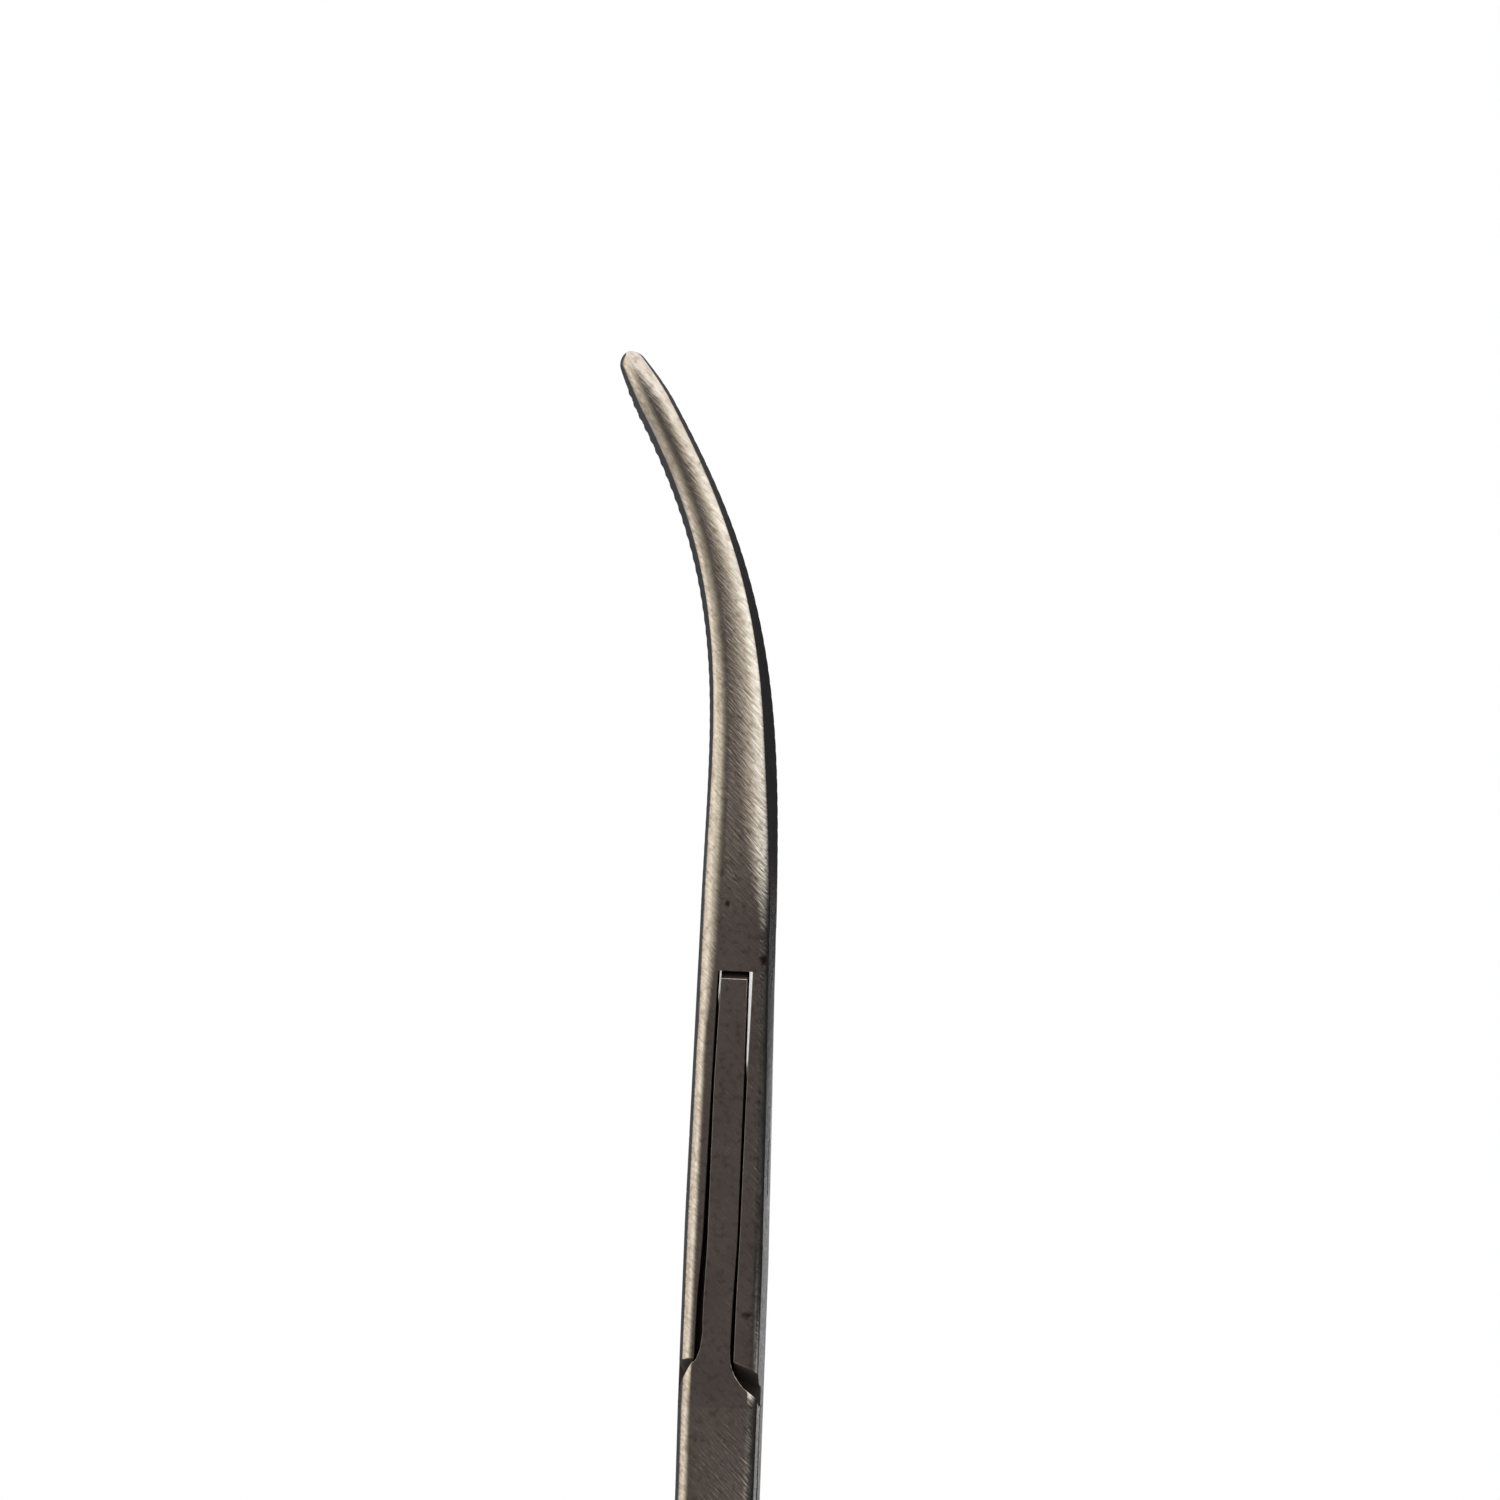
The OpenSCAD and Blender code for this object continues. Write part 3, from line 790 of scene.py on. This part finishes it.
def ratchet(sizes, side):
    """A ratchet bar: rounded rectangles along y, on one half of the thickness.

    The toothed side follows saw teeth, and the bar flares into its shank.
    """
    lines = HandleLines(sizes)
    drop, pitch = mm(sizes.ratchet_drop), mm(sizes.ratchet_pitch)
    root = CREST_GAP + mm(sizes.ratchet_depth)
    low, _ = half_thickness(np.array([-drop]))
    back = low[0] - 0.06
    shank_y = float(lines.offset(np.array([-drop]))[0])
    place = [BAR_END_Y, BAR_END_Y + 0.12, BAR_END_Y + 0.3]
    front = [root + 0.3, root + 0.05, root]
    for i in range(3):
        start = BAR_END_Y + i * pitch
        place += [start + 0.32 * (i == 0) + 0.02, *(start + share * pitch for share in (0.80, 0.88, 0.99))]
        front += [root, CREST_GAP + 0.02, CREST_GAP, root]
    stem = np.linspace(BAR_END_Y + 3 * pitch + 0.2, shank_y, 16)
    y = np.concatenate([place, stem])[:, None]
    front = np.concatenate([front, np.full_like(stem, root)])[:, None]
    end = smooth((y - BAR_END_Y) / BAR_BEVEL) * BAR_BEVEL
    flare = smooth((y - shank_y + 3.4) / 2.6)
    half = mm(sizes.ratchet_height) / 2 - BAR_BEVEL + end + 0.9 * flare**2
    far = back - BAR_BEVEL + end
    loops = []
    for start, z_side, x_edge, x_side in (
        (0, 1, far, 1),
        (90, 1, front, -1),
        (180, -1, front, -1),
        (270, -1, far, 1),
    ):
        c, s = quarter(start, 4)
        r = BACK_RADIUS if x_side > 0 else TOOTH_RADIUS
        x = x_edge - x_side * r + r * c[None, :]
        z = z_side * (half - r) + r * s[None, :] - drop
        loops.append(np.stack([x, y + 0 * c, z], axis=-1))
    return loft(np.concatenate(loops, axis=1) * np.array([side, side, 1]))


# ---------- pin ----------


def pin(sizes):
    """The pivot pin: rings of a cylinder with broken rims, whose ends are ground along the leaning flanks."""
    radius = mm(sizes.pin_diameter) / 2
    angle = np.radians(np.arange(72) * 5.0)
    rims = [(radius * share, 0.0) for share in (0.02, 0.3, 0.6, 0.85)]
    rims += [(radius - 0.05, 0.0), (radius - 0.015, 0.012), (radius, 0.045)]
    rings = []
    for side in (1, -1):
        for r, below in rims[::side]:
            y, z = r * np.cos(angle), r * np.sin(angle)
            half = along(FIRM_SIDE if side > 0 else SOFT_SIDE, z)
            rings.append(np.stack([side * (half - below), y, z], axis=-1))
    return loft(lean(np.stack(rings)))


# ---------- materials ----------


# Places of the sockets of a colour mix, whose names repeat for each kind of value
SHARE, FIRST, SECOND, MIXED = 0, 6, 7, 2
NOISE = ("Vector", "Scale", "Detail", "Roughness")


def add_node(tree, kind, inputs=(), **attributes):
    """Adds a node, sets its attributes, and sets or links its inputs.

    The inputs are a dictionary by name or place, or a tuple in the node's own order. An output socket among
    them is linked, and any other value is set.
    """
    node = tree.nodes.new(kind)
    for name, value in attributes.items():
        setattr(node, name, value)
    given = inputs if isinstance(inputs, dict) else dict(enumerate(inputs))
    for name, value in given.items():
        if isinstance(value, bpy.types.NodeSocket):
            tree.links.new(value, node.inputs[name])
        else:
            node.inputs[name].default_value = value
    return node


def new_material(name):
    material = bpy.data.materials.new(name)
    material.use_nodes = True
    material.node_tree.nodes.clear()
    return material, material.node_tree


def grain_coordinates(tree, width_mm, stretch, turn_degrees):
    """Object coordinates, and the same turned about the y axis and scaled to the grain.

    One unit is one grain wide, and a grain is stretch units long.
    """
    place = add_node(tree, "ShaderNodeTexCoord").outputs["Object"]
    rotation = (0, np.radians(turn_degrees), 0)
    turned = add_node(tree, "ShaderNodeMapping", {"Vector": place, "Rotation": rotation}).outputs["Vector"]
    unit = 1 / (width_mm * MM)
    scale = (unit / stretch, unit / 2, unit)
    sized = add_node(tree, "ShaderNodeMapping", {"Vector": turned, "Scale": scale})
    return place, sized.outputs["Vector"]


# Small rust and water spots, as the place of each on the body and its radius, in millimetres
SPOTS = (
    ((1.05, -3.3, -5.6), 0.2),
    ((-0.3, -3.4, 10.1), 0.12),
    ((1.15, -3.3, 8.0), 0.2),
    ((1.0, 3.3, -3.4), 0.14),
)


def satin_steel(finish):
    """Stainless steel ground on a fine belt across the length and then satin-brushed.

    It gives the eye a soft, broad reflection with a fine slanting grain, faint brown water stains and a few
    rust spots.
    """
    material, tree = new_material("satin_brushed_stainless_steel")
    # A belt of 320 grit leaves lines about 0.04 mm apart; they are drawn 0.09 mm apart so that they show.
    place, grain = grain_coordinates(tree, 0.09, 7, -45)
    lines, cloud, pitting, ragged = [
        add_node(tree, "ShaderNodeTexNoise", dict(zip(NOISE, row))).outputs["Fac"]
        for row in (
            (grain, 1.0, 2.0, 0.6),
            (place, 1 / (2.4 * MM), 3.0, 0.55),
            (place, 1 / (0.28 * MM), 2.0, 0.5),
            (place, 1 / (0.12 * MM), 3.0, 0.6),
        )
    ]
    # The stain comes in broad patches, along the grain and in small pits.
    body = finish.satin
    for value, low, high, most in (
        (cloud, 0.42, 0.75, 0.32),
        (lines, 0.35, 0.75, 0.6),
        (pitting, 0.52, 0.78, 0.75),
    ):
        share = add_node(tree, "ShaderNodeMapRange", (value, low, high, 0.0, most)).outputs["Result"]
        layer = {SHARE: share, FIRST: body, SECOND: finish.stain}
        body = add_node(tree, "ShaderNodeMix", layer, data_type="RGBA").outputs[MIXED]
    for centre, radius in SPOTS:
        spot = Vector(((centre[0] + MIDDLE_X) * MM, centre[1] * MM, centre[2] * MM))
        size = radius * MM
        gap = add_node(tree, "ShaderNodeVectorMath", (place, spot), operation="DISTANCE").outputs["Value"]
        edge = add_node(tree, "ShaderNodeMath", (ragged, size * 1.2, -size * 0.6), operation="MULTIPLY_ADD")
        ragged_gap = add_node(tree, "ShaderNodeMath", (gap, edge.outputs[0]), operation="ADD").outputs[0]
        span = (ragged_gap, size * 0.5, size * 1.1, 0.85, 0.0)
        share = add_node(tree, "ShaderNodeMapRange", span).outputs["Result"]
        layer = {SHARE: share, FIRST: body, SECOND: finish.rust}
        body = add_node(tree, "ShaderNodeMix", layer, data_type="RGBA").outputs[MIXED]
    rough = add_node(tree, "ShaderNodeMapRange", (lines, 0.3, 0.7, 0.17, 0.27)).outputs["Result"]
    bump = add_node(tree, "ShaderNodeBump", {"Strength": 1.0, "Distance": 0.01 * MM, "Height": lines})
    surface = {"Base Color": body, "Metallic": 1.0, "Roughness": rough, "Normal": bump.outputs["Normal"]}
    shader = add_node(tree, "ShaderNodeBsdfPrincipled", surface)
    add_node(tree, "ShaderNodeOutputMaterial", {"Surface": shader.outputs["BSDF"]})
    return material


def lapped_steel(finish):
    """Stainless steel lapped inside the lock, with painted shade: darker, matt and non-metallic low in the
    slot and near the mouths.

    It gives the eye a dark gap that turns bright where light slides along the walls.
    """
    material, tree = new_material("lapped_stainless_slot_wall")
    place, grain = grain_coordinates(tree, 0.12, 10, 0)
    x, y, z = add_node(tree, "ShaderNodeSeparateXYZ", {"Vector": place}).outputs
    patch, lines = [
        add_node(tree, "ShaderNodeTexNoise", dict(zip(NOISE, row))).outputs["Fac"]
        for row in ((place, 1 / (0.5 * MM), 3.0, 0.6), (grain, 1.0, 3.0, 0.55))
    ]
    # The painted shade lies low in the slot, higher on the concave side, and at the opening on the near side.
    rise = 2.2
    slanted = add_node(tree, "ShaderNodeMath", (x, rise, z), operation="MULTIPLY_ADD").outputs[0]
    level = add_node(tree, "ShaderNodeMath", (patch, 1.2 * MM, slanted), operation="MULTIPLY_ADD").outputs[0]
    depth = add_node(tree, "ShaderNodeMath", (patch, -0.6 * MM, y), operation="MULTIPLY_ADD").outputs[0]
    most = 0.96
    low, near = [
        add_node(tree, "ShaderNodeMapRange", (value, clean * MM, full * MM, 0.0, most)).outputs["Result"]
        for value, clean, full in (
            (level, 5.9 + rise * MIDDLE_X, 4.7 + rise * MIDDLE_X),
            (depth, -1.9, -2.3),
        )
    ]
    # Painted shade: where this share is high, the walls take the dark colour, turn matt and stop being metal,
    # so the gaps read as shaded
    shade_share = add_node(tree, "ShaderNodeMath", (low, near), operation="MAXIMUM").outputs[0]
    layer = {SHARE: shade_share, FIRST: finish.wall, SECOND: finish.slot_shade}
    body = add_node(tree, "ShaderNodeMix", layer, data_type="RGBA").outputs[MIXED]
    rough, bare = [
        add_node(tree, "ShaderNodeMapRange", (shade_share, 0.0, most, clean, full)).outputs["Result"]
        for clean, full in ((0.12, 0.75), (1.0, 0.0))
    ]
    bump = add_node(tree, "ShaderNodeBump", {"Strength": 0.6, "Distance": 0.002 * MM, "Height": lines})
    surface = {"Base Color": body, "Metallic": bare, "Roughness": rough, "Normal": bump.outputs["Normal"]}
    shader = add_node(tree, "ShaderNodeBsdfPrincipled", {**surface, "Specular IOR Level": 0.2})
    add_node(tree, "ShaderNodeOutputMaterial", {"Surface": shader.outputs["BSDF"]})
    return material


def pin_steel(finish):
    """Hardened stainless pin, ground flush with the flanks.

    It gives the eye a slightly brighter disc with a fine straight grain.
    """
    material, tree = new_material("ground_stainless_pin")
    place, grain = grain_coordinates(tree, 0.08, 1, 0)
    lines, cloud = [
        add_node(tree, "ShaderNodeTexNoise", dict(zip(NOISE, row))).outputs["Fac"]
        for row in ((grain, 1.0, 2.0, 0.55), (place, 1 / (2.5 * MM), 3.0, 0.55))
    ]
    share = add_node(tree, "ShaderNodeMapRange", (cloud, 0.4, 0.7, 0.0, 0.3)).outputs["Result"]
    layer = {SHARE: share, FIRST: finish.pin, SECOND: finish.stain}
    body = add_node(tree, "ShaderNodeMix", layer, data_type="RGBA").outputs[MIXED]
    rough = add_node(tree, "ShaderNodeMapRange", (lines, 0.3, 0.7, 0.2, 0.32)).outputs["Result"]
    bump = add_node(tree, "ShaderNodeBump", {"Strength": 0.8, "Distance": 0.003 * MM, "Height": lines})
    surface = {"Base Color": body, "Metallic": 1.0, "Roughness": rough, "Normal": bump.outputs["Normal"]}
    shader = add_node(tree, "ShaderNodeBsdfPrincipled", surface)
    add_node(tree, "ShaderNodeOutputMaterial", {"Surface": shader.outputs["BSDF"]})
    return material


def painted_board(finish):
    """Matt painted board: an even pale floor with the faintest mottle."""
    material, tree = new_material("matt_painted_board")
    place = add_node(tree, "ShaderNodeTexCoord").outputs["Object"]
    row = (place, 1 / (4 * MM), 3.0, 0.55)
    cloud = add_node(tree, "ShaderNodeTexNoise", dict(zip(NOISE, row))).outputs["Fac"]
    share = add_node(tree, "ShaderNodeMapRange", (cloud, 0.3, 0.7, 0.0, 0.04)).outputs["Result"]
    layer = {SHARE: share, FIRST: finish.floor, SECOND: finish.floor_mottle}
    body = add_node(tree, "ShaderNodeMix", layer, data_type="RGBA").outputs[MIXED]
    surface = {"Base Color": body, "Roughness": 0.8, "Specular IOR Level": 0.1}
    shader = add_node(tree, "ShaderNodeBsdfPrincipled", surface)
    add_node(tree, "ShaderNodeOutputMaterial", {"Surface": shader.outputs["BSDF"]})
    return material


def material_for(maker, finish):
    """The material that a maker gives, made once."""
    made = bpy.context.scene.get("forceps_" + maker.__name__)
    if made is None:
        made = maker(finish)
        bpy.context.scene["forceps_" + maker.__name__] = made
    return made


# ---------- operators ----------


class FORCEPS_OT_jaws(bpy.types.Operator):
    """Build the two curved jaws with their interlocking serrations"""

    bl_idname = "forceps.jaws"
    bl_label = "Jaws"

    def execute(self, context):
        sizes, finish = context.scene.forceps_sizes, context.scene.forceps_finish
        for name, side, node, body in (
            ("jaw_female", NEAR, "female_jaw", "female_half"),
            ("jaw_male", FAR, "male_jaw", "male_half"),
        ):
            points, faces = loft(jaw_loops(sizes, side))
            piece = store(name, points, faces, material_for(satin_steel, finish))
            finish_piece(piece, body, [node], flats=True)
        return {"FINISHED"}


class FORCEPS_OT_lock(bpy.types.Operator):
    """Build the two halves of the box lock: the slotted box and the tenon that passes through it"""

    bl_idname = "forceps.lock"
    bl_label = "Box lock"

    def execute(self, context):
        sizes, finish = context.scene.forceps_sizes, context.scene.forceps_finish
        wall = material_for(lapped_steel, finish)
        for maker, node, body in (
            (female_lock, "female_box_lock", "female_half"),
            (male_lock, "male_tenon", "male_half"),
        ):
            piece = maker(sizes, wall)
            piece.data.materials[0] = material_for(satin_steel, finish)
            break_edges(piece, mm(sizes.arris), (-ROOT_Z, ROOT_Z))
            finish_piece(piece, body, [node], 36, flats=True)
        return {"FINISHED"}


class FORCEPS_OT_handles(bpy.types.Operator):
    """Build the two handles: shank, ratchet bar and finger ring in one forging each"""

    bl_idname = "forceps.handles"
    bl_label = "Handles"

    def execute(self, context):
        sizes, finish = context.scene.forceps_sizes, context.scene.forceps_finish
        for name, side, half in (("handle_female", FAR, "female"), ("handle_male", NEAR, "male")):
            piece = store(name, *handle(sizes, side), material_for(satin_steel, finish))
            bar = store(name + "_bar", *ratchet(sizes, side), material_for(satin_steel, finish))
            cut(piece, [bar], "UNION")
            nodes = [f"{half}_{part}" for part in ("shank", "ratchet", "finger_ring")]
            finish_piece(piece, half + "_half", nodes, flats=True)
        return {"FINISHED"}


class FORCEPS_OT_pin(bpy.types.Operator):
    """Build the pivot pin, ground flush with the flanks of the box"""

    bl_idname = "forceps.pin"
    bl_label = "Pivot pin"

    def execute(self, context):
        sizes, finish = context.scene.forceps_sizes, context.scene.forceps_finish
        piece = store("pin", *pin(sizes), material_for(pin_steel, finish))
        finish_piece(piece, "female_half", ["pivot_pin"])
        return {"FINISHED"}


# ---------- stage ----------

# Rings of light at eye level, above it and below it, by direction: each stop is (degrees, colour, strength).
# The degrees run from the front, 0, towards the concave side.
LEVEL_LIGHT = (
    (-180, "#FFFFFF", 1.5),
    (-177.5, "#FFFFFF", 1.25),
    (-175, "#C8C8D8", 0.04),
    (-40, "#E8E0EC", 0.02),
    (-16, "#FEEDEE", 0.08),
    (0, "#FEEDEE", 0.10),
    (14, "#FEEDEA", 0.11),
    (28, "#FEF0DC", 0.28),
    (48, "#FFF6E4", 0.70),
    (75, "#FFF8EA", 1.45),
    (116, "#FFF4E2", 1.15),
    (130, "#C8D0E0", 0.18),
    (175, "#C8D0E0", 0.08),
    (177.5, "#FFFFFF", 1.25),
    (180, "#FFFFFF", 1.5),
)
HIGH_LIGHT = (
    (-180, "#FFFFFF", 0.9),
    (-172, "#D8DCE4", 0.16),
    (-128, "#D8DCE4", 0.10),
    (-112, "#FFFFF8", 1.2),
    (-60, "#FFFFF8", 1.85),
    (-30, "#FFFEF2", 1.7),
    (-20, "#FCF1DF", 1.0),
    (-6, "#FCF1DF", 0.5),
    (4, "#F8E9EA", 0.08),
    (18, "#F8E9EA", 0.08),
    (28, "#FFFCE6", 0.4),
    (42, "#FFFCE6", 1.3),
    (112, "#FFFCE6", 1.35),
    (130, "#D8DCE4", 0.2),
    (172, "#D8DCE4", 0.16),
    (180, "#FFFFFF", 0.9),
)
LOW_LIGHT = (
    (-180, "#E8E8F0", 0.15),
    (-135, "#E8E8F0", 0.12),
    (-105, "#FFFFFF", 0.65),
    (-78, "#FFFCF6", 0.50),
    (-55, "#FFFCF6", 0.09),
    (10, "#FFF8F0", 0.09),
    (32, "#FFF8EC", 0.50),
    (105, "#FFF8EC", 0.70),
    (135, "#E8E8F0", 0.12),
    (180, "#E8E8F0", 0.15),
)


def lit(code, strength):
    """Colour of a hex code, multiplied by a strength."""
    return (*(strength * channel for channel in srgb(code)[:3]), 1.0)


def studio_light(world):
    """World light by direction, from three rings of light, level, above it and below it, and a bright top.

    Each ring is a ramp over the turn about the vertical, smoothed between its stops. Matt surfaces see an
    even white room, and the camera itself sees plain white.
    """
    world.use_nodes = True
    tree = world.node_tree
    tree.nodes.clear()
    direction = add_node(tree, "ShaderNodeTexCoord").outputs["Generated"]
    x, y, z = add_node(tree, "ShaderNodeSeparateXYZ", {"Vector": direction}).outputs
    left, front = [
        add_node(tree, "ShaderNodeMath", (axis, -1.0), operation="MULTIPLY").outputs[0] for axis in (x, y)
    ]
    angle = add_node(tree, "ShaderNodeMath", (left, front), operation="ARCTAN2").outputs[0]
    turn = add_node(tree, "ShaderNodeMapRange", (angle, -np.pi, np.pi, 0.0, 1.0)).outputs["Result"]
    rings = []
    for stops in (LEVEL_LIGHT, HIGH_LIGHT, LOW_LIGHT):
        ramp = add_node(tree, "ShaderNodeValToRGB", {"Fac": turn})
        ramp.color_ramp.interpolation = "EASE"
        elements = ramp.color_ramp.elements
        while len(elements) < len(stops):
            elements.new(0.5)
        for element, (degrees, code, power) in zip(elements, stops):
            element.position = (degrees + 180) / 360
            element.color = lit(code, power)
        rings.append(ramp.outputs["Color"])
    light, high, low = rings
    # Each layer takes over between two heights of the direction.
    for start, end, layer in ((0.14, 0.26, high), (0.36, 0.62, lit("#FFFAF2", 1.5)), (-0.15, -0.21, low)):
        share = add_node(tree, "ShaderNodeMapRange", (z, start, end, 0.0, 1.0)).outputs["Result"]
        both = {SHARE: share, FIRST: light, SECOND: layer}
        light = add_node(tree, "ShaderNodeMix", both, data_type="RGBA").outputs[MIXED]
    rays = add_node(tree, "ShaderNodeLightPath").outputs
    for kind, power in (("Is Diffuse Ray", 0.98), ("Is Camera Ray", 1.0)):
        both = {SHARE: rays[kind], FIRST: light, SECOND: lit("#FFFFFF", power)}
        light = add_node(tree, "ShaderNodeMix", both, data_type="RGBA").outputs[MIXED]
    background = add_node(tree, "ShaderNodeBackground", {"Color": light})
    add_node(tree, "ShaderNodeOutputWorld", {"Surface": background.outputs["Background"]})


def pale_floor(finish, low_z):
    """Flat disc under the rings: rings of points, each radius r at angles a, (r cos a, r sin a)."""
    radius = np.array([0.001, 0.1, 0.4, 0.9])[:, None]
    angle = np.radians(np.arange(96) * 3.75)[None, :]
    x = radius * np.cos(angle)
    top = np.stack([x, radius * np.sin(angle), np.full_like(x, low_z)], axis=-1)
    under = top[::-1] - np.array([0, 0, 0.002])
    points, faces = loft(np.concatenate([top, under]))
    floor = store("floor", points, faces, material_for(painted_board, finish))
    floor.visible_glossy = False


def stage_camera():
    """Long lens, level with the curve's middle, a little to the convex side and rolled with the tool."""
    data = bpy.data.cameras.new("camera")
    camera = bpy.data.objects.new("camera", data)
    bpy.context.scene.collection.objects.link(camera)
    distance, view_width = 0.5, 0.05775
    azimuth, roll = np.radians(2.4), np.radians(2.19)
    data.sensor_width = 36
    data.lens = data.sensor_width * distance / view_width
    target = Vector(((MIDDLE_X + 0.196) * MM, 0, 16.0 * MM))
    back = Vector((np.sin(azimuth), -np.cos(azimuth), 0))
    camera.location = target + back * distance
    turn = (-back).to_track_quat("-Z", "Y").to_matrix().to_4x4() @ Matrix.Rotation(roll, 4, "Z")
    camera.rotation_mode = "QUATERNION"
    camera.rotation_quaternion = turn.to_quaternion()
    data.clip_start, data.clip_end = 0.01, 10
    bpy.context.scene.camera = camera


class FORCEPS_OT_stage(bpy.types.Operator):
    """Build the floor, the studio light and the camera"""

    bl_idname = "forceps.stage"
    bl_label = "Stage"

    def execute(self, context):
        scene = context.scene
        pale_floor(scene.forceps_finish, CAD_BOX[0][2])
        scene.world = bpy.data.worlds.new("studio")
        studio_light(scene.world)
        stage_camera()
        scene.view_settings.view_transform = "Standard"
        return {"FINISHED"}


class FORCEPS_PT_panel(bpy.types.Panel):
    """Buttons that build the forceps, and their sizes and colours"""

    bl_idname = "FORCEPS_PT_panel"
    bl_label = "Curved haemostatic forceps"
    bl_space_type = "VIEW_3D"
    bl_region_type = "UI"
    bl_category = "Forceps"

    def draw(self, context):
        for operator in OPERATORS:
            self.layout.operator(operator.bl_idname)
        for group in (context.scene.forceps_sizes, context.scene.forceps_finish):
            box = self.layout.box()
            for name in group.bl_rna.properties.keys():
                if name not in ("rna_type", "name"):
                    box.prop(group, name)


OPERATORS = (FORCEPS_OT_jaws, FORCEPS_OT_lock, FORCEPS_OT_handles, FORCEPS_OT_pin, FORCEPS_OT_stage)
CLASSES = (ForcepsSizes, ForcepsFinish, *OPERATORS, FORCEPS_PT_panel)


def register():
    for each in CLASSES:
        bpy.utils.register_class(each)
    bpy.types.Scene.forceps_sizes = PointerProperty(type=ForcepsSizes)
    bpy.types.Scene.forceps_finish = PointerProperty(type=ForcepsFinish)


def unregister():
    del bpy.types.Scene.forceps_finish
    del bpy.types.Scene.forceps_sizes
    for each in reversed(CLASSES):
        bpy.utils.unregister_class(each)


def main():
    register()
    bpy.ops.forceps.jaws()
    bpy.ops.forceps.lock()
    bpy.ops.forceps.handles()
    bpy.ops.forceps.pin()
    bpy.ops.forceps.stage()


if __name__ == "__main__":
    main()
